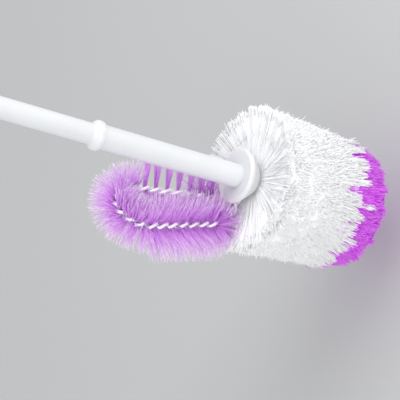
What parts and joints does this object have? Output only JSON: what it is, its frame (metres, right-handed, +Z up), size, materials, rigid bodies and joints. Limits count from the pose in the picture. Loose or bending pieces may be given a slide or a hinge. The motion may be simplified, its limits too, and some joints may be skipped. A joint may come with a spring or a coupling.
{
  "type": "toilet brush with rim brush",
  "caption": "Toilet brush with a long two-piece handle, a round bristle head on a flanged hub and a U-shaped rim brush of twisted wire beside the handle.",
  "frame": {"origin": "centre of the hanging hole in the eye at the handle's top end", "axes": "+Z up along the handle, away from the bristle head; the rim brush stands beside the handle towards -X; the hanging hole runs along Y"},
  "size_m": [0.1077, 0.0902, 0.3965],
  "materials": {
    "white_plastic": "gloss",
    "galvanised_wire": "satin",
    "white_bristle": "matte",
    "magenta_bristle": "matte",
    "purple_bristle": "matte"
  },
  "bodies": {
    "grip": {"grip_tube": "white_plastic", "grip_end_cap": "white_plastic"},
    "brush": {"head_wire": "galvanised_wire", "hub": "white_plastic", "purple_row_1": "magenta_bristle", "purple_row_2": "magenta_bristle", "rim_back_row_1": "purple_bristle", "rim_back_row_2": "purple_bristle", "rim_back_row_3": "purple_bristle", "rim_back_row_4": "purple_bristle", "rim_back_row_5": "purple_bristle", "rim_back_row_6": "purple_bristle", "rim_front_row_1": "purple_bristle", "rim_front_row_2": "purple_bristle", "rim_front_row_3": "purple_bristle", "rim_front_row_4": "purple_bristle", "rim_front_row_5": "purple_bristle", "rim_front_row_6": "purple_bristle", "rim_turn_row_1": "purple_bristle", "rim_turn_row_2": "purple_bristle", "rim_turn_row_3": "purple_bristle", "rim_turn_row_4": "purple_bristle", "rim_turn_row_5": "purple_bristle", "rim_turn_row_6": "purple_bristle", "rim_turn_row_7": "purple_bristle", "rim_turn_row_8": "purple_bristle", "rim_wire": "galvanised_wire", "stem_tube": "white_plastic", "white_row_1": "white_bristle", "white_row_2": "white_bristle", "white_row_3": "white_bristle", "white_row_4": "white_bristle", "white_row_5": "white_bristle", "white_row_6": "white_bristle", "white_row_7": "white_bristle", "white_row_8": "white_bristle"}
  },
  "joints": [
    {"name": "handle_pull", "type": "slide", "parent": "grip", "child": "brush", "axis": [0, 0, -1], "range_m": [0, 0.027]}
  ]
}
